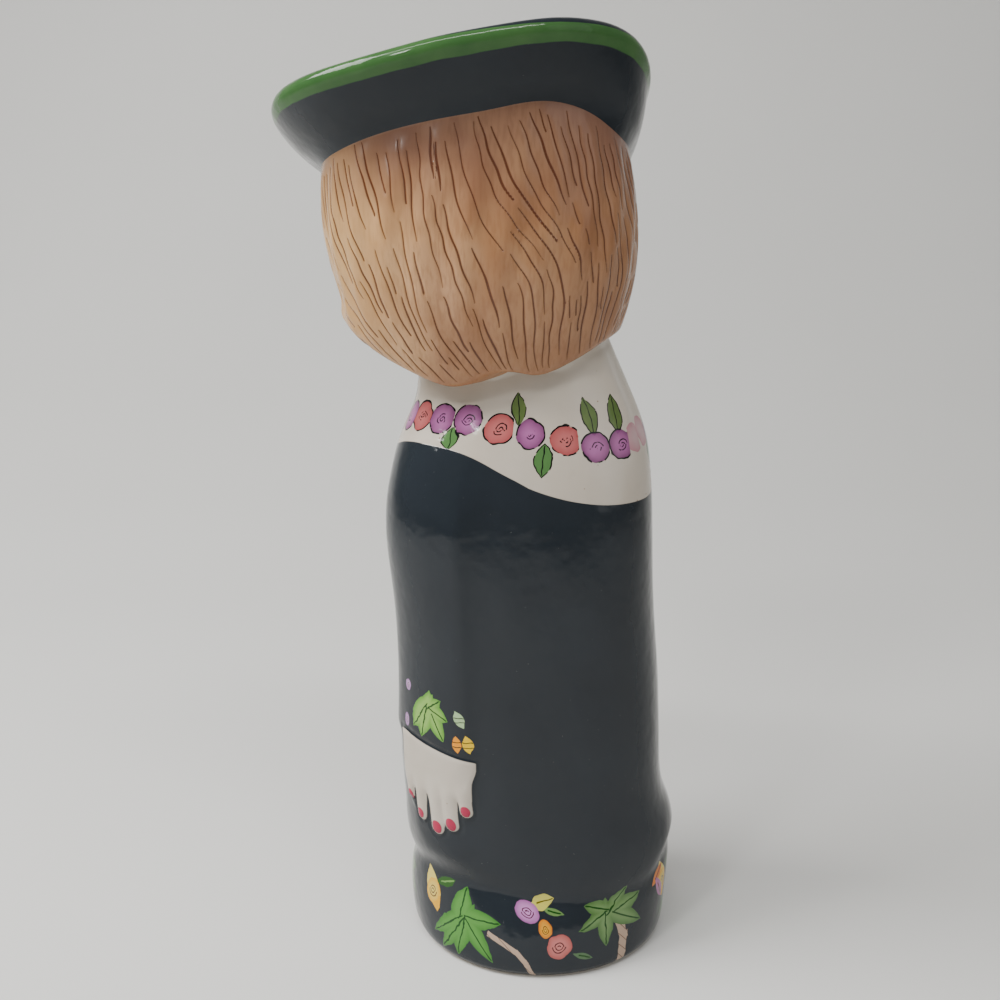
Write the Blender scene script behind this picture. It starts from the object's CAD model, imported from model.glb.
import math

import bmesh
import bpy
import numpy as np
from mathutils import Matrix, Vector, kdtree


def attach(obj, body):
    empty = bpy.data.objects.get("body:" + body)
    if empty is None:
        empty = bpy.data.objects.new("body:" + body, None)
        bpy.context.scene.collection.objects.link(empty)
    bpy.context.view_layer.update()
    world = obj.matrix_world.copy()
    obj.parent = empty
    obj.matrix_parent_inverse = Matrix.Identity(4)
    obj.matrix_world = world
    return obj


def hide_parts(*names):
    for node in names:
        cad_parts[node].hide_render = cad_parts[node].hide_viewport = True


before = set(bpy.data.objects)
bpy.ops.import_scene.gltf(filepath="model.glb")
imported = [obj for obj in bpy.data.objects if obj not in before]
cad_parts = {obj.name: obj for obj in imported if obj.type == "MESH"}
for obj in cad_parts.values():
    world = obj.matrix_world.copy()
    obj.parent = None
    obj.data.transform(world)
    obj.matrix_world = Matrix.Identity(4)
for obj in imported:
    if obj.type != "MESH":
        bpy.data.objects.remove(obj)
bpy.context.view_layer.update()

# Lengths here are millimetres and angles are degrees, until a mesh or a light is placed. Angles go
# round the figure as in the part's source: 0 at her back, 90 at her left, 180 in front.
MM = 0.001
SHARE = 257.5 / 101          # the figure is laid out in 101 shares of its height

# The casting's rings are counted from the middle of the foot to the floor inside.
COLUMNS = 58
FOOT_RING, HEM_RING, NECK_RING, HAIR_RING = 3, 4, 36, 38
HAT_RING, LIP_RING, MOUTH_RING, LAST_RING = 48, 57, 64, 86
HEM_TOP, DRESS_TOP = 26, 128      # heights where the finishes of the body change
PAINT_SEAM = -60                  # beyond it, the body's paint is measured on round the front
FACE_MIDDLE = 18.2                # how far to her left the middle of the face lies
FACE_ARC = 0.72                   # millimetres across the face for each degree
FACE_FROM = 138                   # the angle where the face's finish begins, under the locks


# Small sums.

def ramp(x, start, end):
    """Rises smoothly from 0 at the start to 1 at the end."""
    t = np.clip((x - start) / (end - start), 0, 1)
    return t * t * (3 - 2 * t)


def bump(x, middle, reach):
    """1 at the middle, and 0 beyond its reach."""
    return (1 - np.minimum(1, np.abs(x - middle) / reach) ** 2) ** 2


def arc_table(half, deep, square):
    """How far it is round a squared oval from the back, at each angle."""
    angle = np.arange(-360, 360.5, 0.5)
    s, c = np.sin(np.radians(angle)), np.cos(np.radians(angle))
    x = half * np.sign(s) * np.abs(s) ** (2 / square)
    y = deep * np.sign(c) * np.abs(c) ** (2 / square)
    run = np.concatenate([[0], np.cumsum(np.hypot(np.diff(x), np.diff(y)))])
    return angle, run - np.interp(0, angle, run)


DRESS_ARC = arc_table(15.0 * SHARE, 12.5 * SHARE, 2.35)
HEAD_ARC = arc_table(16.6 * SHARE, 13.6 * SHARE, 2.25)
ROUND = 2 * float(np.interp(180, *DRESS_ARC))     # the whole way round the dress


# Studio.

def set_camera():
    """Her back, from where the photo was taken."""
    tilt = math.radians(79)
    bpy.ops.object.camera_add(location=(0.013, 0.341, 0.1965), rotation=(tilt, 0, math.pi))
    camera = bpy.context.object
    camera.data.sensor_width = 36
    camera.data.lens = 42.48
    bpy.context.scene.camera = camera


def softbox(name, place, target, size, power):
    bpy.ops.object.light_add(type="AREA", location=place)
    light = bpy.context.object
    light.name = name
    light.data.shape = "RECTANGLE"
    light.data.size, light.data.size_y = size
    light.data.energy = power
    light.rotation_euler = (Vector(target) - Vector(place)).to_track_quat("-Z", "Y").to_euler()


def set_lights():
    middle = (0.01, 0, 0.13)
    softbox("window_box", (0.42, 0.62, 0.72), middle, (0.13, 0.11), 2.2)
    softbox("left_box", (0.66, 0.1, 0.78), middle, (0.5, 0.4), 11)
    softbox("right_box", (-0.8, 0.5, 0.5), middle, (0.6, 0.8), 0.9)
    softbox("strip_box", (0.12, 0.42, 1.0), middle, (1.1, 0.1), 7)
    world = bpy.data.worlds.new("studio_air")
    bpy.context.scene.world = world
    world.use_nodes = True
    world.node_tree.nodes["Background"].inputs[0].default_value = (0.97, 0.99, 1.0, 1)
    world.node_tree.nodes["Background"].inputs[1].default_value = 0.30


# Shader sums.

class Sock:
    """A socket that works in sums: an expression on it adds the nodes that work it out."""

    tree = None

    def __init__(self, socket):
        self.socket = socket

    @classmethod
    def node(cls, kind, settings, sockets, output=0):
        made = cls.tree.nodes.new("ShaderNode" + kind)
        for key, value in settings.items():
            if key == "stops":
                stops = made.color_ramp.elements
                made.color_ramp.interpolation = "CONSTANT"
                for i, (at, colour) in enumerate(value):
                    stop = stops[i] if i < len(stops) else stops.new(at)
                    stop.position = at
                    stop.color = (*colour, 1)
            else:
                setattr(made, key, value)
        for key, value in sockets.items():
            if isinstance(value, cls):
                cls.tree.links.new(value.socket, made.inputs[key])
            else:
                made.inputs[key].default_value = value
        if isinstance(output, tuple):
            return [cls(made.outputs[i]) for i in output]
        return cls(made.outputs[output])

    def sum(self, operation, *others, clamp=False):
        values = dict(enumerate((self, *others)))
        return Sock.node("Math", {"operation": operation, "use_clamp": clamp}, values)

    def __add__(self, other):
        return self.sum("ADD", other)

    def __sub__(self, other):
        return self.sum("SUBTRACT", other)

    def __rsub__(self, other):
        return Sock.node("Math", {"operation": "SUBTRACT"}, {0: other, 1: self})

    def __mul__(self, other):
        return self.sum("MULTIPLY", other)

    def __truediv__(self, other):
        return self.sum("DIVIDE", other)

    def __pow__(self, other):
        return self.sum("POWER", other)

    def __abs__(self):
        return self.sum("ABSOLUTE")

    def __gt__(self, other):
        return self.sum("GREATER_THAN", other)

    def __lt__(self, other):
        return self.sum("LESS_THAN", other)


def least(a, b):
    return a.sum("MINIMUM", b)


def most(a, b):
    return a.sum("MAXIMUM", b)


def size(x, y):
    return (x * x + y * y).sum("SQRT")


def inside(depth, soft=0.1):
    """1 where depth, in millimetres inside an edge, is above 0. The edge is as soft as given."""
    return depth.sum("MULTIPLY_ADD", 1 / soft, 0.5, clamp=True)


def tint(red, green, blue):
    """A pigment that reads as this colour, from 0 to 255, under the studio light and a gloss."""
    return tuple(max(0.002, 0.7 * (c / 205) ** 2.75 - 0.015) for c in (red, green, blue))


def lay(mask, under, over):
    """One colour over another."""
    def full(colour):
        return colour if isinstance(colour, Sock) else (*colour, 1)
    return Sock.node("Mix", {"data_type": "RGBA"}, {0: mask, 6: full(under), 7: full(over)}, 2)


def cloud(place, scale, detail=2.0, stretch=None):
    """Soft noise from 0 to 1. place is in millimetres, and scale in patches to the millimetre."""
    if stretch:
        settings = {"operation": "MULTIPLY"}
        place = Sock.node("VectorMath", settings, {0: place, 1: stretch})
    return Sock.node("TexNoise", {}, {"Vector": place, "Scale": scale, "Detail": detail})


def object_place():
    """The object's own coordinates, in millimetres."""
    own = Sock.node("TexCoord", {}, {}, 3)
    return Sock.node("VectorMath", {"operation": "SCALE"}, {0: own, "Scale": 1000.0})


def axes(place):
    return Sock.node("SeparateXYZ", {}, {0: place}, (0, 1, 2))


def read(name):
    """A number that the mesh carries at its corners."""
    return Sock.node("Attribute", {"attribute_name": name}, {}, 2)


def finish_with(name, make):
    """A finish whose make(place, u, v) gives colour, roughness, relief in mm and mirror level."""
    material = bpy.data.materials.new(name)
    material.use_nodes = True
    tree = material.node_tree
    Sock.tree = tree
    tree.nodes.clear()
    shader = tree.nodes.new("ShaderNodeBsdfPrincipled")
    end = tree.nodes.new("ShaderNodeOutputMaterial")
    tree.links.new(shader.outputs[0], end.inputs[0])
    place = object_place()
    flat = Sock.node("UVMap", {"uv_map": "paint"}, {})
    u, v = Sock.node("SeparateXYZ", {}, {0: flat}, (0, 1))
    u, v = (u - 0.5) * 1000.0, v * 1000.0
    colour, roughness, relief, mirror = make(place, u, v)
    normal = Sock.node("Bump", {}, {"Strength": 1.0, "Distance": MM, "Height": relief})
    tree.links.new(colour.socket, shader.inputs["Base Color"])
    tree.links.new(roughness.socket, shader.inputs["Roughness"])
    tree.links.new(normal.socket, shader.inputs["Normal"])
    shader.inputs["Specular IOR Level"].default_value = mirror
    return material


# Painted shapes, on the flattened skin: u millimetres round from the back, v up.

def local(u, v, start, end):
    """Coordinates along and across a line, from its start."""
    length = math.hypot(end[0] - start[0], end[1] - start[1])
    c, s = (end[0] - start[0]) / length, (end[1] - start[1]) / length
    x = u * c + (v * s - (start[0] * c + start[1] * s))
    y = v * c - (u * s + (start[1] * c - start[0] * s))
    return x, y, length


def blade(u, v, start, end, width):
    """A leaf with its rib: how deep inside it a point is, and the same for the rib."""
    x, y, length = local(u, v, start, end)
    across = abs(y)
    depth = x * (length - x) * (2 * width / length ** 2) - across
    rib = least(least(0.2 - across, depth - 0.3), x - 0.27 * length)
    return depth, rib


def oval(u, v, middle, half, lean=0.0):
    """How deep inside an oval a point is, leaning by an angle."""
    c, s = math.cos(math.radians(lean)), math.sin(math.radians(lean))
    x = (u * c + (v * s - (middle[0] * c + middle[1] * s))) * (1 / half[0])
    y = (v * c - (u * s + (middle[1] * c - middle[0] * s))) * (1 / half[1])
    far = size(x, y)
    return (1 - far) * min(half), far


def strip(u, v, points, width):
    """How deep inside a line of even width a point is."""
    depth = None
    for start, end in zip(points, points[1:]):
        x, y, length = local(u, v, start, end)
        over = most(x - length, 0 - x)
        part = width - most(abs(y), over)
        depth = part if depth is None else most(depth, part)
    return depth


INK = tint(30, 22, 26)
LEAF_DARK = tint(54, 84, 46)


def black_glaze(place):
    """Black glaze with a faint blue cast where it pooled thin."""
    thin = cloud(place, 0.035, 3.0)
    speck = cloud(place, 1.3, 1.0)
    colour = lay(thin, (0.008, 0.0108, 0.0142), (0.016, 0.0212, 0.0272))
    colour = lay(inside(speck - 0.8, 0.02) * 0.4, colour, (0.10, 0.105, 0.10))
    roughness = cloud(place, 0.09, 3.0) * 0.1 + 0.05
    return colour, roughness


def clear_glaze(place):
    """Clear glaze on white clay, warmer where it is thick."""
    return lay(cloud(place, 0.05, 3.0), tint(190, 184, 175), tint(172, 162, 149))


def skin_glaze(place):
    """The same with a few fired specks."""
    speck = cloud(place, 0.55, 1.0)
    return lay(inside(speck - 0.79, 0.02) * 0.7, clear_glaze(place), tint(120, 88, 60))


def skin_relief(place):
    """The faint ripple of a dipped glaze."""
    return cloud(place, 0.22, 1.0) * 0.16 + cloud(place, 0.9, 1.0) * 0.012


# Finishes.

PALM_LEFT = [((26.6, 9.4), (23.0, 22.8), 6.4), ((28.0, 14.6), (13.0, 14.6), 5.4),
             ((26.2, 17.6), (16.0, 3.6), 5.4), ((22.4, 18.8), (26.6, 2.6), 5.4),
             ((20.6, 18.6), (31.8, 2.6), 5.4), ((20.6, 17.6), (34.8, 6.0), 5.0)]
PALM_RIGHT = [((-22.4, 18.4), (-11.4, 12.6), 4.2), ((-23.0, 16.2), (-12.2, 19.2), 4.2),
              ((-17.2, 13.0), (-25.0, 22.6), 4.2), ((-17.6, 15.0), (-30.0, 19.4), 4.8),
              ((-17.0, 18.4), (-31.0, 11.2), 5.0), ((-18.4, 20.6), (-20.2, 7.0), 4.8)]
TRUNK_LEFT = [(16.1, 11.3), (12.2, 9.4), (8.6, 7.4), (6.1, 4.8), (3.6, 0.6)]
TRUNK_RIGHT = [(-23.8, 12.8), (-25.4, 8.6), (-25.4, 2.6)]
HEM_REPEAT = ROUND / 3
HEM_FROM = -33.0                        # where the repeat that the photo shows begins


def paint_fronds(colour, u, v, fronds, fresh, old):
    """A palm's fronds: one green shape with a dark rib down each frond."""
    depth = rib = None
    for start, end, width in fronds:
        one, line = blade(u, v, start, end, width)
        depth = one if depth is None else most(depth, one)
        rib = line if rib is None else most(rib, line)
    colour = lay(inside(depth), colour, lay(inside(depth - 0.9, 1.6), old, fresh))
    return lay(inside(rib), colour, LEAF_DARK), inside(depth)


def paint_leaf(colour, u, v, start, end, width, fill, ink):
    leaf, rib = blade(u, v, start, end, width)
    return lay(inside(rib), lay(inside(leaf), colour, fill), ink)


def paint_flower(colour, u, v, middle, half, light, deep, lean=0.0):
    """A small rose: a shaded oval with a line that winds in to its middle."""
    depth, far = oval(u, v, middle, half, lean)
    mask = inside(depth)
    colour = lay(mask, colour, lay(far * far, light, deep))
    winding = (v > middle[1]) * 0.16 + (far - 0.28)
    rings = abs(abs(winding - 0.1) - 0.12)
    colour = lay(inside(0.045 - rings, 0.03) * (far < 0.62), colour, tint(90, 58, 60))
    return colour, mask


def hem_finish(place, u, v):
    """The black hem, with palms, trunks, flowers and leaves that come round three times."""
    colour, roughness = black_glaze(place)
    stir = (cloud(place, 0.5, 1.0) - 0.5) * 0.9
    turn_count = ((u - HEM_FROM) * (1 / HEM_REPEAT)).sum("FLOOR")
    x = u - turn_count * HEM_REPEAT + stir
    y = v + stir * 0.7
    bark = tint(172, 152, 136)
    trunks = most(strip(x, y, TRUNK_LEFT, 0.75), strip(x, y, TRUNK_RIGHT, 1.25))
    rings = abs((x - y) * 0.36 - ((x - y) * 0.36).sum("ROUND"))
    colour = lay(inside(trunks), colour, lay(inside(0.04 - rings, 0.05), bark, tint(104, 82, 68)))
    colour, left = paint_fronds(colour, x, y, PALM_LEFT, tint(98, 144, 80), tint(84, 128, 70))
    colour, right = paint_fronds(colour, x, y, PALM_RIGHT, tint(116, 140, 98), tint(94, 120, 80))
    yellow, deep_yellow = tint(198, 182, 108), tint(206, 162, 58)
    colour = paint_leaf(colour, x, y, (33.8, 20.8), (26.6, 23.2), 2.8, tint(66, 98, 56),
                        tint(120, 150, 96))
    bud, _ = blade(x, y, (36.8, 24.4), (33.2, 12.0), 5.4)
    colour = lay(inside(bud), colour, lay(y > 17, deep_yellow, yellow))
    colour, a = paint_flower(colour, x, y, (35.0, 17.6), (2.7, 3.8), yellow, deep_yellow, 12)
    colour = paint_leaf(colour, x, y, (0.6, 19.2), (-6.6, 17.6), 1.8, tint(112, 138, 92),
                        LEAF_DARK)
    colour = paint_leaf(colour, x, y, (5.2, 20.0), (-3.2, 22.0), 4.6, tint(186, 180, 100),
                        tint(104, 96, 44))
    colour, b = paint_flower(colour, x, y, (5.6, 18.4), (4.0, 2.6), tint(186, 140, 182),
                             tint(156, 104, 150), 28)
    colour, c = paint_flower(colour, x, y, (-0.7, 14.0), (2.9, 2.2), tint(204, 162, 78),
                             tint(194, 124, 36), 38)
    colour = paint_leaf(colour, x, y, (-10.2, 6.8), (-16.2, 4.8), 1.7, tint(98, 120, 92),
                        LEAF_DARK)
    colour, d = paint_flower(colour, x, y, (-5.8, 9.1), (3.9, 3.4), tint(188, 128, 124),
                             tint(168, 100, 96))
    hip = (u < -30.0) * (u > -50.0)
    petals, line = blade(u, v, (-35.0, 18.6), (-40.6, 23.4), 2.6)
    colour = lay(inside(petals) * hip, colour, tint(192, 128, 78))
    petals_low, line_low = blade(u, v, (-36.6, 20.6), (-41.2, 12.8), 2.8)
    colour = lay(inside(petals_low) * hip, colour, tint(164, 118, 150))
    colour = lay(inside(most(line, line_low)) * hip, colour, tint(120, 72, 72))
    painted = most(most(left, right), most(most(a, b), most(c, d)))
    return colour, roughness, skin_relief(place) + painted * PAINT_LIFT, 0.35


NAILS = [((38.4, 46.6), (0.9, 1.6)), ((34.2, 42.5), (1.1, 1.6)), ((28.5, 40.2), (1.4, 2.0)),
         ((24.0, 42.0), (1.4, 2.0)), ((19.3, 46.6), (1.3, 1.7)), ((108.6, 66.2), (1.7, 1.2)),
         ((106.4, 62.9), (1.8, 1.25)), ((107.0, 59.6), (1.8, 1.25)), ((109.6, 56.6), (1.6, 1.1))]
SPRIG = [((28.8, 80.4), (31.8, 66.2), 6.4), ((27.6, 79.4), (35.0, 68.4), 6.6),
         ((31.6, 76.4), (23.0, 72.4), 4.8), ((29.6, 76.6), (24.2, 66.2), 4.4),
         ((31.4, 73.8), (25.0, 78.0), 4.0)]
SLEEVE_BUDS = [((20.9, 75.9), (18.3, 71.0), 2.8, tint(160, 182, 144)),
               ((20.6, 68.6), (19.9, 63.5), 2.5, tint(214, 150, 58)),
               ((17.9, 68.8), (16.7, 63.6), 2.9, tint(212, 182, 58))]
NAIL_LIFT, PAINT_LIFT = 0.1, 0.03       # how far enamel stands over the glaze


def sleeve_finish(place, u, v):
    """The dress between hem and bodice, both hands below their cuffs, and a sprig on one sleeve."""
    colour, roughness = black_glaze(place)
    hand = inside(read("hand"), 0.18)
    colour = lay(hand, colour, skin_glaze(place))
    edge = None
    for middle, half in NAILS:
        nail, _ = oval(u, v, middle, half)
        edge = nail if edge is None else most(edge, nail)
    nails = inside(edge)
    colour = lay(nails, colour, lay(cloud(place, 0.9), tint(178, 68, 92), tint(162, 72, 94)))
    stir = (cloud(place, 0.6, 1.0) - 0.5) * 0.7
    x, y = u + stir, v + stir
    colour, sprig = paint_fronds(colour, x, y, SPRIG, tint(138, 170, 98), tint(106, 150, 74))
    light, deep = tint(176, 150, 178), tint(150, 118, 156)
    colour, _ = paint_flower(colour, x, y, (37.6, 80.0), (1.3, 1.6), light, deep)
    colour, _ = paint_flower(colour, x, y, (38.3, 69.4), (1.1, 1.9), light, deep)
    # Two thin lines across each bud, lower down and higher up.
    lines = inside(0.14 - abs(abs(y - 66.1) - 0.75)) + inside(0.12 - abs(abs(y - 73.2) - 0.6))
    for start, end, width, fill in SLEEVE_BUDS:
        bud, _ = blade(x, y, start, end, width)
        colour = lay(inside(bud), colour, fill)
        colour = lay(inside(bud) * lines, colour, tint(66, 62, 34))
    relief = skin_relief(place) + sprig * PAINT_LIFT + nails * NAIL_LIFT
    return colour, roughness, relief, 0.35


# Each rose: round, up, and 0 for purple, 1 for coral or 2 for a faded one with no outline.
ROSES = [(-109, 150.6, 0), (-99.5, 149.6, 1), (-90, 149.8, 0), (-80.5, 151, 1), (-71, 151.4, 0),
         (-61.5, 151.2, 1), (-52.5, 151.5, 0), (-44.5, 152.2, 2), (-37.2, 151, 2),
         (-30.5, 149.6, 0), (-21.3, 149.4, 0), (-12.2, 151.5, 1), (-1.3, 153.3, 0),
         (8.6, 154.5, 1), (19.1, 156.8, 0), (28.4, 156.6, 0), (37.3, 156.9, 1), (45.2, 156.4, 0),
         (54, 155.6, 1), (63, 154.6, 0), (72, 153.4, 0), (81, 152.2, 1), (90, 151.2, 0),
         (99, 150.4, 1), (107.5, 150.2, 0)]
# Each leaf of the garland: its base, round and up, and the way from there to its tip.
SPRAYS = [(-104, 152.5, -1.2, 8.6), (-85.5, 149, 0.6, -7.6), (-66, 153, 0.8, 8.6),
          (-48.5, 149.6, -0.6, -7.0), (-29.6, 152.4, -1.8, 10.6), (-21.4, 152.6, 1.0, 10.2),
          (-5.9, 150.6, 0.6, -8.6), (2.6, 155.6, 0.6, 8.4), (23.6, 154.4, -0.8, -5.6),
          (52, 157.6, 1.0, 8.4), (64, 152.4, -0.6, -7.4), (76.5, 155.6, 0.6, 8.6),
          (94.5, 148.6, 0.4, -7.4), (108, 153, 0.8, 8.2)]


def steps(u, marks, low, span):
    """The three numbers of the mark nearest round the figure. Each number lies between its low
    and its low and span, and u comes first."""
    stops = []
    for i, mark in enumerate(marks):
        edge = -ROUND / 2 if i == 0 else (marks[i - 1][0] + mark[0]) / 2
        values = [(value - a) / b for value, a, b in zip(mark, low, span)]
        stops.append(((edge + ROUND / 2) / ROUND, tuple(values)))
    spot = (u + ROUND / 2) * (1 / ROUND)
    found = Sock.node("ValToRGB", {"stops": stops}, {0: spot})
    parts = Sock.node("SeparateColor", {}, {0: found}, (0, 1, 2))
    return [part * b + a for part, a, b in zip(parts, low, span)]


def shoulder_finish(place, u, v):
    """Bare shoulders over the neckline of the dress, with a garland painted round them."""
    black, roughness = black_glaze(place)
    colour = skin_glaze(place)
    stir = (cloud(place, 0.35, 1.0) - 0.5) * 1.3
    x, y = u + stir, v - stir
    line = inside(cloud(place, 0.42, 1.0) - 0.4, 0.03)
    bases = [(a, b, 0) for a, b, _, _ in SPRAYS]
    base_u, base_v, _ = steps(u, bases, (-120, 100, 0), (240, 100, 1))
    tips = [(a, c, d) for a, _, c, d in SPRAYS]
    _, lean, rise = steps(u, tips, (-120, -10, -10), (240, 20, 20))
    length = size(lean, rise)
    along = ((x - base_u) * lean + (y - base_v) * rise) / length
    across = abs((y - base_v) * lean - (x - base_u) * rise) / length
    leaf = (along * (length - along)) / (length * length) * 10.6 - across
    fill = lay(cloud(place, 0.25, 1.0), tint(112, 124, 86), tint(84, 104, 66))
    colour = lay(inside(leaf), colour, lay(rise > 0, tint(94, 124, 84), fill))
    edges = inside(0.22 - abs(leaf), 0.1) * line + inside(0.18 - across) * inside(leaf - 0.5)
    colour = lay(least(edges, 1.0), colour, INK)
    rose_u, rose_v, kind = steps(u, ROSES, (-120, 100, 0), (240, 100, 2))
    dx, dy = (x - rose_u) * 0.86, y - rose_v
    far = size(dx, dy)
    disc = inside(4.05 - far, 0.14)
    heart = (far * 0.25) ** 2.0
    purple = lay(heart, tint(162, 102, 150), tint(116, 62, 106))
    coral = lay(heart, tint(176, 106, 106), tint(156, 76, 80))
    faded = lay(heart, tint(178, 152, 154), tint(170, 124, 134))
    rose = lay(kind > 0.5, purple, lay(kind > 1.5, coral, faded))
    colour = lay(disc * 0.92, colour, rose)
    rim = inside(0.22 - abs(far - 4.0)) * line
    curl = size(dx + (dy > 0) * 0.5, dy)
    curls = inside(0.15 - abs(abs(curl - 1.0) - 0.42), 0.08)
    curls = curls * inside(cloud(place, 0.55, 1.0) - 0.46, 0.03)
    colour = lay(most(rim, curls) * (kind < 1.5), colour, INK)
    dress = inside(read("bodice"), 0.16)
    colour = lay(dress, colour, black)
    return colour, roughness, skin_relief(place) + dress * 0.05, 0.4


def hair_finish(place, u, v):
    """Tan hair, stained darker under the hat, with brown in every scored line."""
    brushed = cloud(place, 0.16, 3.0, (1.0, 1.0, 0.22))
    patches = cloud(place, 0.045, 2.0)
    colour = lay(brushed, tint(190, 155, 122), tint(163, 130, 103))
    fine = cloud(place, 1.1, 2.0, (1.0, 1.0, 0.16))
    colour = lay(inside(fine - 0.55, 0.2) * 0.3, colour, tint(130, 98, 76))
    colour = lay(inside(patches - 0.54, 0.22) * 0.6, colour, tint(138, 100, 74))
    x, _, _ = axes(place)
    colour = lay(inside(x - 44, 30.0) * 0.6, colour, tint(200, 168, 120))
    colour = lay(inside(4 - x, 34.0) * 0.6, colour, tint(134, 100, 78))
    up = read("hair_up")
    stain = inside(up - 0.8 + (patches - 0.5) * 0.35, 0.45)
    colour = lay(stain * 0.8, colour, tint(120, 94, 86))
    near = inside(read("score_near"), 0.08)
    scored = read("score_half") - abs(read("score_side"))
    colour = lay(inside(scored + 0.25, 0.5) * near * 0.25, colour, tint(128, 90, 60))
    groove = inside(scored, 0.16) * near
    colour = lay(groove * 0.85, colour, tint(94, 62, 40))
    roughness = brushed * 0.16 + 0.14
    relief = skin_relief(place) - groove * 0.13
    return colour, roughness, relief, 0.45


def face_finish(place, u, v):
    """The face between two locks of hair, with plain painted features."""
    hair, _, hair_relief, _ = hair_finish(place, u, v)
    x, _, z = axes(place)
    side = abs(x - FACE_MIDDLE)
    colour = clear_glaze(place)
    blush, _ = oval(side, z, (15.0, 190.0), (6.5, 5.0))
    colour = lay(inside(blush - 1.5, 5.0) * 0.4, colour, tint(222, 150, 140))
    brow = (side - 9.5) * (side - 9.5) * -0.045 + 208.4
    brow_edge = least((7.0 - abs(side - 10.0)) * 0.12, 0.45)
    colour = lay(inside(brow_edge - abs(z - brow), 0.15), colour, tint(92, 58, 38))
    lid = (side - 9.5) * (side - 9.5) * 0.06 + 199.2
    lid_edge = least((5.6 - abs(side - 9.5)) * 0.25, 0.38)
    shade = inside(least(z - lid, 2.8 - (z - lid)) - 1.0, 2.0) * inside(lid_edge, 0.6)
    colour = lay(shade * 0.4, colour, tint(150, 160, 176))
    colour = lay(inside(lid_edge - abs(z - lid), 0.12), colour, tint(40, 26, 22))
    lash = abs(side * 0.7 - (side * 0.7).sum("ROUND"))
    lashes = inside(0.1 - lash, 0.1) * inside(least(lid - z, z - lid + 1.6)) * (side > 8.0)
    colour = lay(lashes * inside(5.4 - abs(side - 9.5)), colour, tint(40, 26, 22))
    upper = least(1.9 - abs(side - 1.9) * 0.55, (z - 185.3) * 1.0)
    upper = least(upper, 187.4 - z - abs(abs(side - 1.6) - 0.3) * 0.22)
    lower, _ = oval(side, z, (0.0, 185.0), (4.2, 2.3))
    lips = most(inside(least(upper, 5.6 - side)), inside(lower) * (z < 185.3))
    colour = lay(lips, colour, tint(196, 64, 70))
    colour = lay(inside(0.13 - abs(z - 185.3)) * (side < 4.8), colour, tint(120, 32, 40))
    face = inside(read("face"), 0.25)
    colour = lay(face, hair, colour)
    roughness = cloud(place, 0.1) * 0.1 + 0.12
    relief = lay(face, hair_relief, skin_relief(place))
    return colour, roughness, relief, 0.5


def hat_finish(place, u, v):
    """Black glaze with a green band painted over the rolled lip, narrower towards her right."""
    colour, roughness = black_glaze(place)
    row = read("ring") + (cloud(place, 0.12, 1.0) - 0.5) * 0.16
    x, _, _ = axes(place)
    bare = inside(20 - x, 44.0) * 1.3
    band = least(row - 50.9, 54.35 - bare - row)
    wash = cloud(place, 0.12, 3.0)
    green = lay(wash, (0.055, 0.135, 0.038), (0.024, 0.078, 0.02))
    colour = lay(inside(band, 0.08), colour, green)
    return colour, roughness, skin_relief(place), 0.24


def inside_finish(place, u, v):
    """Pale glaze, run into the hollow."""
    colour = lay(cloud(place, 0.08, 3.0), tint(186, 180, 168), tint(162, 152, 138))
    return colour, cloud(place, 0.1) * 0.15 + 0.2, skin_relief(place), 0.4


def foot_finish(place, u, v):
    """Bare fired clay where the vase stands."""
    grain = cloud(place, 1.6, 3.0)
    colour = lay(grain, tint(196, 188, 174), tint(172, 160, 144))
    colour = lay(cloud(place, 0.06) * 0.5, colour, tint(154, 138, 118))
    return colour, grain * 0.2 + 0.65, grain * 0.06, 0.2


# The casting.

CREASES = [0, 2, NECK_RING, HAT_RING, LAST_RING]     # where the surface may turn sharply
MOUTH_X = 7.6 * SHARE
# From ring, to ring, and how many cuts go between each two rings.
ROW_CUTS = [(HEM_RING, 11, 1), (11, 22, 3), (22, NECK_RING, 2), (HAIR_RING, 39, 2),
            (39, HAT_RING, 8), (49, LIP_RING, 2), (LIP_RING, MOUTH_RING, 1)]


def only(piece):
    bpy.ops.object.select_all(action="DESELECT")
    piece.select_set(True)
    bpy.context.view_layer.objects.active = piece


def copy_casting():
    """A merged copy of the solid's mesh, to be cut finer and carved."""
    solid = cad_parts["figural_vase"]
    vase = bpy.data.objects.new("glazed_figure", solid.data.copy())
    bpy.context.collection.objects.link(vase)
    vase.data.materials.clear()
    only(vase)
    if vase.data.has_custom_normals:
        bpy.ops.mesh.customdata_custom_splitnormals_clear()
    bpy.ops.object.mode_set(mode="EDIT")
    bpy.ops.mesh.select_all(action="SELECT")
    bpy.ops.mesh.remove_doubles(threshold=1e-6)
    bpy.ops.object.mode_set(mode="OBJECT")
    return vase


def sort_rings(mesh):
    """The corners in rings, from the middle of the foot to the floor inside, column by column."""
    place = np.array([v.co[:] for v in mesh.vertices]) / MM
    near = [set() for _ in mesh.vertices]
    for edge in mesh.edges:
        a, b = edge.vertices
        near[a].add(b)
        near[b].add(a)
    poles = [i for i, others in enumerate(near) if len(others) == COLUMNS]
    foot = min(poles, key=lambda i: place[i][2])
    first = sorted(near[foot], key=lambda i: math.atan2(place[i][0] - place[foot][0], place[i][1]))
    rings = [[foot] * COLUMNS, first]
    seen = {foot, *first}
    while True:
        last = rings[-1]
        above = [near[i] - seen for i in last]
        ring = set().union(*above)
        if len(ring) == 1:
            rings.append(list(ring) * COLUMNS)
            return rings, place
        tries = []
        for step in (-1, 1):
            picked = [above[i] & above[(i + step) % COLUMNS] for i in range(COLUMNS)]
            if all(len(one) == 1 for one in picked):
                order = [one.pop() for one in picked]
                tries.append((float(np.abs(place[order] - place[last]).sum()), order))
        rings.append(min(tries)[1])
        seen |= ring


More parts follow.
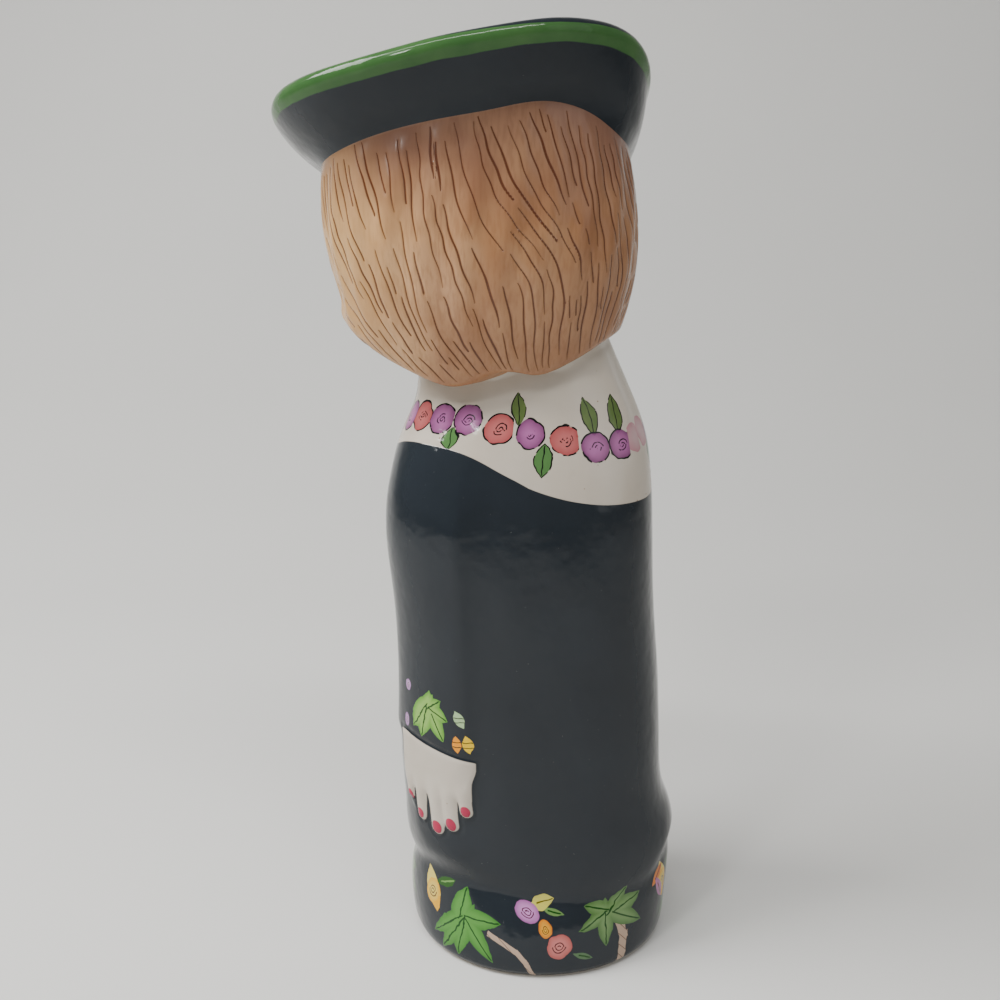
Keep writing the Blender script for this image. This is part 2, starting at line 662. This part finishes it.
def drop_diagonals(vase, rings):
    """Turns the loose triangles into the rings' own four-sided faces."""
    spot = {}
    for row, ring in enumerate(rings):
        for column, corner in enumerate(ring):
            spot[corner] = (row, column)
    bpy.ops.object.mode_set(mode="EDIT")
    bpy.ops.mesh.select_mode(type="EDGE")
    bpy.ops.mesh.select_all(action="DESELECT")
    edges = bmesh.from_edit_mesh(vase.data)
    last = len(rings) - 1
    for edge in edges.edges:
        a, b = (spot[corner.index] for corner in edge.verts)
        if a[0] != b[0] and a[1] != b[1] and 0 < min(a[0], b[0]) and max(a[0], b[0]) < last:
            edge.select_set(True)
    bmesh.update_edit_mesh(vase.data)
    bpy.ops.mesh.dissolve_edges(use_verts=False)
    bpy.ops.object.mode_set(mode="OBJECT")


def note_rings(vase, rings):
    """Keeps each corner's ring and column on the mesh, so that cuts carry them along."""
    count = len(vase.data.vertices)
    values = {name: np.zeros(count) for name in ("ring", "column_x", "column_y")}
    for row, ring in enumerate(rings):
        for column, corner in enumerate(ring):
            turn = 2 * math.pi * column / COLUMNS
            values["ring"][corner] = row
            values["column_x"][corner] = math.cos(turn)
            values["column_y"][corner] = math.sin(turn)
    for name, numbers in values.items():
        vase.data.attributes.new(name, "FLOAT", "POINT").data.foreach_set("value", numbers)


def cut(vase, first, last, cuts, along):
    """Cuts the edges that lie along the rings from first to last, or those between them."""
    bpy.ops.object.mode_set(mode="EDIT")
    bpy.ops.mesh.select_mode(type="EDGE")
    bpy.ops.mesh.select_all(action="DESELECT")
    edges = bmesh.from_edit_mesh(vase.data)
    ring = edges.verts.layers.float["ring"]
    for edge in edges.edges:
        a, b = sorted(corner[ring] for corner in edge.verts)
        level = b - a < 0.01
        if level == along and a > first - 0.01 and b < last + 0.01 and (level or b - a < 1.01):
            edge.select_set(True)
    bmesh.update_edit_mesh(vase.data)
    bpy.ops.mesh.subdivide(number_cuts=cuts, smoothness=0)
    bpy.ops.object.mode_set(mode="OBJECT")


def read_floats(mesh, name):
    values = np.zeros(len(mesh.vertices), np.float32)
    mesh.attributes[name].data.foreach_get("value", values)
    return values.astype(float)


def curve_weights(t):
    """How much each of four neighbours counts at a share t of the way between the middle two."""
    return np.stack([(1 - t) ** 3, 3 * t ** 3 - 6 * t ** 2 + 4,
                     -3 * t ** 3 + 3 * t ** 2 + 3 * t + 1, t ** 3]) / 6


def smooth_places(grid, angles, row, column):
    """Where a corner at a row and column lies on the smooth surface, and its angle."""
    j = np.floor(column).astype(int)
    across = curve_weights(column - j)
    beyond = np.concatenate([angles[-2:] - 360, angles, angles[:3] + 360])
    angle = sum(across[k] * beyond[j + k + 1] for k in range(4))
    out = np.zeros((len(row), 3))
    for start, end in zip(CREASES, CREASES[1:]):
        here = (row >= start) & (row <= end)
        part = grid[start:end + 1]
        part = np.concatenate([[2 * part[0] - part[1]], part, [2 * part[-1] - part[-2]]])
        i = np.clip(np.floor(row[here] - start).astype(int), 0, end - start - 1)
        up = curve_weights(row[here] - start - i)
        found = np.zeros((len(i), 3))
        for a in range(4):
            for b in range(4):
                corners = part[i + a, (j[here] + b - 1) % COLUMNS]
                found += (up[a] * across[b][here])[:, None] * corners
        out[here] = found
    return out, angle


# Lines of the figure by angle, in shares of height, as in the part's source.
HAIR_EDGE = [(-180, 68.6), (-150, 68.9), (-120, 69.6), (-90, 70.4), (-60, 69.5), (-38, 67.5),
             (-20, 66.0), (-5, 66.7), (16, 64.8), (42, 66.9), (66, 69.6), (86, 71.4),
             (115, 70.6), (150, 69.2), (180, 68.6)]
CREASE_LINE = [(-180, 85.6), (-120, 86.8), (-85, 89.4), (-60, 91.0), (-42, 92.8), (-22, 93.5),
               (0, 92.2), (25, 90.8), (55, 89.0), (85, 87.8), (125, 86.4), (180, 85.6)]
# The neckline of the dress: round the figure in mm from the back, and up.
NECKLINE = [(-113.7, 139.0), (-95, 140.5), (-75, 141.5), (-60, 137.5), (-44.0, 134.0),
            (-27.8, 133.5), (-18.3, 134.2), (-7.2, 136.7), (3.5, 141.3), (7.5, 143.6),
            (9.9, 144.9), (14.9, 147.1), (20.1, 148.5), (25.5, 149.3), (38.9, 150.1),
            (49.3, 148.1), (65, 145.0), (85, 141.5), (100, 139.6), (113.7, 139.0)]


def line_at(line, x):
    """A line of points, rounded off between them."""
    at, value = np.array(line, float).T
    fine = np.linspace(at[0], at[-1], 721)
    raw = np.interp(fine, at, value)
    step = fine[1] - fine[0]
    reach = max(1, int(6 / step))
    smooth = np.convolve(np.pad(raw, reach, mode="edge"), np.ones(2 * reach + 1) / (2 * reach + 1),
                         "valid")
    return np.interp(x, fine, smooth)


def wedge(u, v, start, end, wide, narrow):
    """How deep inside a tapering finger a point is."""
    (a, b), (c, d) = start, end
    run = (c - a) ** 2 + (d - b) ** 2
    t = np.clip(((u - a) * (c - a) + (v - b) * (d - b)) / run, 0, 1)
    return (wide + (narrow - wide) * t) - np.hypot(u - a - t * (c - a), v - b - t * (d - b))


FINGERS = [((38.6, 52), (38.6, 47.0), 1.9, 1.5), ((33.6, 52), (34.3, 42.0), 2.3, 1.75),
           ((28.6, 52), (28.7, 40.0), 2.5, 2.1), ((24.0, 52), (24.1, 41.8), 2.4, 2.05),
           ((19.6, 53), (19.3, 46.4), 2.0, 1.8)]
FRONT_FINGERS = [((119.5, 68.0), (109.2, 66.2), 1.8, 1.4),
                 ((118.5, 65.2), (107.2, 62.9), 2.0, 1.5),
                 ((118.5, 62.6), (107.7, 59.7), 2.0, 1.5),
                 ((119.0, 60.4), (110.2, 56.8), 1.8, 1.35),
                 ((124.5, 69.0), (116.0, 72.0), 1.9, 1.4)]


def left_hand(u, v):
    """How deep inside the hand a point is, with each finger's roundness."""
    fingers = np.stack([wedge(u, v, *finger) for finger in FINGERS]).max(0)
    palm = np.minimum.reduce([
        65.6 - 0.222 * np.maximum(37.0 - u, -2) - v, v - 49.0,
        u - np.interp(v, [46, 50, 55, 58, 61], [17.7, 17.4, 16.9, 15.7, 15.5]), 41.0 - u])
    return np.maximum(palm, fingers), fingers


def front_hand(u, v):
    """The same for the right hand, which lies across the front."""
    fingers = np.stack([wedge(u, v, *finger) for finger in FRONT_FINGERS]).max(0)
    palm = np.minimum(wedge(u, v, (128.5, 68.2), (118.5, 64.2), 4.0, 5.4),
                      127.6 - u + (v - 68) * 0.3)
    return np.maximum(palm, fingers), fingers


def carve_dress(u, v):
    """Relief of both hands, in millimetres."""
    hand, fingers = left_hand(u, v)
    across, across_fingers = front_hand(u, v)
    hand = np.maximum(hand, across)
    fingers = np.maximum(fingers, across_fingers)
    rise = 0.5 * ramp(hand, -0.5, 0.8)
    from_wrist = np.where(u > 60, 120 - u, 56 - v)
    rise += 0.5 * np.clip(fingers / 2.2, 0, 1) ** 0.8 * ramp(from_wrist, 0, 8)
    rise -= 0.35 * bump(hand, -0.7, 0.9)
    return rise, hand


def face_edge(angle, up_mm):
    """How deep inside the face a point is: between the locks, and under the fringe."""
    side = (180 - np.abs(angle)) * FACE_ARC
    lock = (25.5 + 1.2 * np.sin(up_mm * 0.22) - 5.5 * ramp(up_mm, 198, 214)
            - 4.5 * ramp(-up_mm, -186, -176))
    fringe = 214.5 + 1.6 * np.cos(side * 0.42) - 0.012 * side ** 2
    return np.minimum(lock - side, fringe - up_mm)


def carve_face(angle, z):
    """Plain features in low relief, in millimetres."""
    x = (180 - np.abs(angle)) * FACE_ARC
    rise = 1.5 * np.exp(-(x / 2.6) ** 2) * ramp(z, 191.5, 194.5) * (1 - ramp(z, 195, 207))
    rise += 0.7 * np.exp(-((x - 2.6) / 1.3) ** 2 - ((z - 193.6) / 1.5) ** 2)
    rise += 0.75 * np.exp(-((x - 9.5) / 4.6) ** 2 - ((z - 201.6) / 2.6) ** 2)
    rise -= 0.35 * np.exp(-((x - 9.5) / 5.0) ** 2 - ((z - 198.4) / 0.9) ** 2)
    rise += 0.75 * np.exp(-((x - 1.8) / 2.2) ** 2 - ((z - 186.4) / 0.9) ** 2)
    rise += 0.85 * np.exp(-(x / 3.4) ** 2 - ((z - 184.1) / 1.0) ** 2)
    rise -= 0.5 * np.exp(-(x / 5.0) ** 2 - ((z - 185.3) / 0.45) ** 2)
    rise -= 0.35 * np.exp(-(x / 4.0) ** 2 - ((z - 181.6) / 0.9) ** 2)
    return rise


def hair_lean(angle, up):
    """How far round a scored line moves for each millimetre that it climbs."""
    low = 1 - up
    lean = 0.17 + 0.12 * np.sin(angle * 0.11 + 4 * up)
    lean += 0.95 * bump(angle, 66, 58) * ramp(low, 0.45, 1.0)
    lean += 0.55 * bump(angle, 8, 40) * ramp(low, 0.7, 1.0)
    lean += 0.6 * bump(angle, -20, 28) * bump(up, 0.5, 0.3)
    lean -= 0.55 * bump(angle, -74, 50) * ramp(low, 0.45, 1.0)
    lean -= 0.35 * bump(angle, 135, 45) * ramp(low, 0.4, 1.0)
    return lean


LANE = 1.55                 # between the starts of two scored lines
SCORE_STEP = 0.3            # between two samples of a line
FEWEST_SAMPLES = 14         # a shorter line is left out
SCORE_DEPTH = 0.22
NO_SCORE = 3.0              # stands for a gap too wide to matter


def patch(x, y):
    """The square, two millimetres wide, that a point of the hair lies in."""
    return round(x / 2), round(y / 2)


def crowded(drawn, x, y, slant):
    """Whether a line drawn before runs closer than the scoring tool goes, wider on a slant."""
    i, j = patch(x, y)
    near = [drawn.get((i + a, j + b), []) for a in (-1, 0, 1) for b in (-1, 0, 1)]
    gap = 1.3 + 0.65 * slant
    return any(math.hypot(x - a, y - b) < gap for spots in near for a, b in spots)


def comb(u, v):
    """The way that the hair runs from here down to its edge."""
    path = []
    while True:
        angle = float(np.interp(u, HEAD_ARC[1], HEAD_ARC[0]))
        wrapped = (angle + 180) % 360 - 180
        floor = float(line_at(HAIR_EDGE, wrapped)) * SHARE
        top = float(line_at(CREASE_LINE, wrapped)) * SHARE
        if v < floor + 1.2:
            return path
        path.append((u, v))
        lean = float(hair_lean(wrapped, (v - floor) / (top - floor)))
        step = SCORE_STEP / math.hypot(1, lean)
        u -= lean * step
        v -= step


def score_line(rng, part, drawn):
    """One scored line, with half its width, as far as it doesn't crowd another."""
    wide = rng.choice([0.16, 0.2, 0.25, 0.31], p=[0.3, 0.36, 0.24, 0.1])
    aside, skew = rng.normal(0, 0.25), rng.normal(0, 0.035)
    wave, phase = rng.uniform(7, 15), rng.uniform(0, 6.28)
    line = []
    for i, (x, y) in enumerate(part):
        slant = abs(x - part[i - 1][0]) / SCORE_STEP if i else 0
        t = i / (len(part) - 1)
        run = i * SCORE_STEP
        x += aside + skew * (run - len(part) * SCORE_STEP / 2)
        x += 0.2 * math.sin(run / wave * 6.28 + phase)
        if crowded(drawn, x, y, slant):
            break
        taper = math.sin(math.pi * min(1, 0.06 + 0.92 * t)) ** 0.55
        line.append((x, y, wide * taper))
    return line if len(line) > FEWEST_SAMPLES else []


def score_hair():
    """Samples of every scored line in the hair: round, up, half its width and its way."""
    rng = np.random.default_rng(20)
    samples = []
    drawn = {}
    half_round = float(np.interp(180, *HEAD_ARC))
    for lane in np.arange(-half_round, half_round, LANE):
        u = lane + rng.uniform(-0.3, 0.3)
        angle = float(np.interp(u, HEAD_ARC[1], HEAD_ARC[0]))
        path = comb(u, float(line_at(CREASE_LINE, angle)) * SHARE - rng.uniform(0.5, 6))
        at = 0
        while at < len(path) - 12:
            length = int(rng.uniform(12, 44) / SCORE_STEP)
            part = path[at:at + length]
            if len(part) > FEWEST_SAMPLES:
                line = score_line(rng, part, drawn)
                for x, y, _ in line:
                    drawn.setdefault(patch(x, y), []).append((x, y))
                for before, (x, y, half), after in zip(line, line[1:], line[2:]):
                    samples.append((x, y, half, after[0] - before[0], after[1] - before[1]))
            at += length + int(rng.uniform(0.8, 4.0) / SCORE_STEP)
    return samples


def carve_hair(u, v):
    """Each point's offset from the nearest scored line, that line's half width, and the gap."""
    samples = score_hair()
    around = 2 * float(np.interp(180, *HEAD_ARC))
    tree = kdtree.KDTree(len(samples) * 2)
    lines = []
    for x, y, *line in samples:
        for shift in (0, around if x < 0 else -around):
            tree.insert((x + shift, y, 0), len(lines))
            lines.append(line)
    tree.balance()
    out = np.zeros((3, len(u)))
    for i, (x, y) in enumerate(zip(u, v)):
        at, k, gap = tree.find((x, y, 0))
        half, run_x, run_y = lines[k]
        side = ((x - at[0]) * run_y - (y - at[1]) * run_x) / math.hypot(run_x, run_y)
        out[:, i] = (side if gap < 0.6 else math.copysign(gap, side)), half, gap
    return out


def smooth_waves(place):
    """The uneven hand of a slip casting: slow swells of a few tenths of a millimetre."""
    x, y, z = place.T
    return (0.16 * np.sin(x * 0.11 + 1.3 + 0.6 * np.sin(z * 0.05)) * np.sin(z * 0.083 + 0.7)
            + 0.10 * np.sin(y * 0.17 + z * 0.06 + 2.1) + 0.07 * np.sin(x * 0.27 - z * 0.19))


def carve_head(ring, angle, z):
    """Relief of the hair and the face, in millimetres, and the marks that their paint follows."""
    hair = (ring >= HAIR_RING) & (ring <= HAT_RING)
    around = np.interp(angle, *HEAD_ARC)
    edge = line_at(HAIR_EDGE, angle) * SHARE
    top = line_at(CREASE_LINE, angle) * SHARE
    up = np.clip((z - edge) / (top - edge), 0, 1)
    face = np.where(np.abs(angle) > 125, face_edge(angle, z), -5.0)
    face[ring < HAIR_RING + 0.5] = -5
    score = np.zeros((3, len(ring))) + NO_SCORE
    score[:, hair] = carve_hair(around[hair], z[hair])
    side, half, gap = score
    gap += NO_SCORE * ramp(face, -0.6, 0.4)
    depth = SCORE_DEPTH * (1 - ramp(gap - half, -0.2, 0.65))
    locks = 0.28 * np.sin(around * 0.62 + 2.2 * np.sin(z * 0.09)) * ramp(up, 0, 0.15)
    fade = ramp(up, 0, 0.04) * (1 - ramp(ring, HAT_RING - 1.2, HAT_RING - 0.2))
    fade = fade * (1 - ramp(face, -0.5, 0.5))
    rise = np.where(hair & (face < 0.5), (locks - depth) * fade, 0)
    features = carve_face(angle, z) * ramp(face, -1, 2)
    rise += np.where(hair & (np.abs(angle) > 130), features, 0)
    marks = {"hair_up": up, "face": face, "score_side": side, "score_half": half,
             "score_near": 0.42 - gap}
    return rise, marks


def carve(vase, grid, angles):
    """Moves every corner to the smooth surface and adds the fine carving."""
    mesh = vase.data
    ring = read_floats(mesh, "ring")
    turn = np.arctan2(read_floats(mesh, "column_y"), read_floats(mesh, "column_x"))
    column = np.mod(turn / (2 * math.pi) * COLUMNS, COLUMNS)
    place, angle = smooth_places(grid, angles, ring, np.minimum(column, COLUMNS - 1e-6))
    angle = np.mod(angle + 180, 360) - 180
    z = place[:, 2]
    u = np.interp(angle, *DRESS_ARC)
    rise, marks = carve_head(ring, angle, z)
    outer = (ring > FOOT_RING + 0.5) & (ring < LIP_RING)
    rise[outer] += smooth_waves(place[outer]) * ramp(z[outer], 0, 6)
    dress = (ring > HEM_RING) & (ring <= NECK_RING)
    hand_rise, hand = carve_dress(np.where(u < PAINT_SEAM, u + ROUND, u), z)
    rise[dress] += hand_rise[dress]
    bodice = line_at(NECKLINE, u) - z
    out = np.stack([np.sin(np.radians(angle)), np.cos(np.radians(angle)), np.zeros(len(ring))], 1)
    place += out * rise[:, None]
    mesh.vertices.foreach_set("co", (place * MM).ravel())
    for name, values in {"hand": hand, "bodice": bodice, **marks}.items():
        mesh.attributes.new(name, "FLOAT", "POINT").data.foreach_set("value", values)
    mesh.update()
    return ring, angle, u, z


def flatten_skin(mesh, u, z):
    """The map that paint follows, in metres: u round from the back, kept above 0, and v up."""
    layer = mesh.uv_layers.new(name="paint")
    corners = np.zeros(len(mesh.loops), int)
    mesh.loops.foreach_get("vertex_index", corners)
    starts = np.zeros(len(mesh.polygons), int)
    counts = np.zeros(len(mesh.polygons), int)
    mesh.polygons.foreach_get("loop_start", starts)
    mesh.polygons.foreach_get("loop_total", counts)
    face = np.repeat(np.arange(len(starts)), counts)
    at = u[corners]
    height = (np.bincount(face, z[corners]) / np.bincount(face))[face]
    beyond = (height > HEM_TOP) & (height <= DRESS_TOP) & (at < PAINT_SEAM)
    at = np.where(beyond, at + ROUND, at)
    widest = np.full(len(starts), -1e9)
    np.maximum.at(widest, face, at)
    at = np.where(widest[face] - at > ROUND / 2, at + ROUND, at)
    layer.data.foreach_set("uv", np.stack([at * MM + 0.5, z[corners] * MM], 1).ravel())
    return face, corners


def give_finishes(vase, ring, angle, z, face, corners):
    """Each zone of the casting gets its own finish."""
    makers = [foot_finish, hem_finish, sleeve_finish, shoulder_finish, hair_finish, face_finish,
              hat_finish, inside_finish]
    for make in makers:
        vase.data.materials.append(finish_with(make.__name__.replace("finish", "glaze"), make))
    count = len(vase.data.polygons)
    total = np.bincount(face, minlength=count)
    row = np.bincount(face, ring[corners], count) / total
    height = np.bincount(face, z[corners], count) / total
    front = np.bincount(face, np.abs(angle[corners]), count) / total
    # Each zone with its finish's place in the list above, and 1, the hem, for what is left.
    zones = [(row < FOOT_RING, 0), (row > MOUTH_RING, 7), (row > HAT_RING, 6),
             ((row > HAIR_RING) & (front > FACE_FROM), 5), (row > NECK_RING, 4),
             (height > DRESS_TOP, 3), (height > HEM_TOP, 2)]
    index = np.select([here for here, _ in zones], [place for _, place in zones], 1)
    vase.data.polygons.foreach_set("material_index", index.astype(np.int32))


def make_vase():
    """The whole casting, in place of its solid."""
    vase = copy_casting()
    rings, place = sort_rings(vase.data)
    grid = place[np.array(rings)]
    mouth = grid[MOUTH_RING]
    angles = np.degrees(np.unwrap(np.arctan2(mouth[:, 0] - MOUTH_X, mouth[:, 1])))
    note_rings(vase, rings)
    drop_diagonals(vase, rings)
    cut(vase, HEM_RING, MOUTH_RING, 3, True)
    cut(vase, HAIR_RING, HAT_RING, 2, True)
    for first, last, cuts in ROW_CUTS:
        cut(vase, first, last, cuts, False)
    ring, angle, u, z = carve(vase, grid, angles)
    face, corners = flatten_skin(vase.data, u, z)
    give_finishes(vase, ring, angle, z, face, corners)
    only(vase)
    bpy.ops.object.shade_smooth()
    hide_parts("figural_vase")
    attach(vase, "root")


def sheet_paper():
    """Pale paper that glows a little, so that it stays even where less light falls."""
    material = bpy.data.materials.new("sheet_paper")
    material.use_nodes = True
    Sock.tree = material.node_tree
    shader = material.node_tree.nodes["Principled BSDF"]
    place = object_place()
    colour = lay(cloud(place, 0.004, 2.0), tint(202, 201, 198), tint(197, 196, 193))
    for socket in ("Base Color", "Emission Color"):
        material.node_tree.links.new(colour.socket, shader.inputs[socket])
    shader.inputs["Emission Strength"].default_value = 0.08
    shader.inputs["Roughness"].default_value = 0.7
    return material


SHEET_WIDE, SHEET_LONG, SHEET_FRONT = 8.0, 9.0, 4.0     # metres, as is the curve's radius
SHEET_FLAT, SHEET_CURVE = 4.3, 0.6


def make_stage():
    """One pale sheet: the floor, and behind the figure a wide curve up into a wall."""
    bpy.ops.mesh.primitive_grid_add(x_subdivisions=1, y_subdivisions=60, size=1)
    sheet = bpy.context.object
    sheet.name = "studio_sheet"
    place = np.zeros(len(sheet.data.vertices) * 3)
    sheet.data.vertices.foreach_get("co", place)
    place = place.reshape(-1, 3)
    run = (0.5 - place[:, 1]) * SHEET_LONG
    turn = np.clip((run - SHEET_FLAT) / SHEET_CURVE, 0, math.pi / 2)
    past = np.maximum(run - SHEET_FLAT - SHEET_CURVE * math.pi / 2, 0)
    place[:, 0] *= SHEET_WIDE
    place[:, 1] = SHEET_FRONT - np.minimum(run, SHEET_FLAT) - SHEET_CURVE * np.sin(turn)
    place[:, 2] = SHEET_CURVE * (1 - np.cos(turn)) + past - 0.0001     # just under the foot
    sheet.data.vertices.foreach_set("co", place.ravel())
    sheet.data.update()
    sheet.data.materials.append(sheet_paper())
    only(sheet)
    bpy.ops.object.shade_smooth()


set_camera()
set_lights()
make_stage()
make_vase()
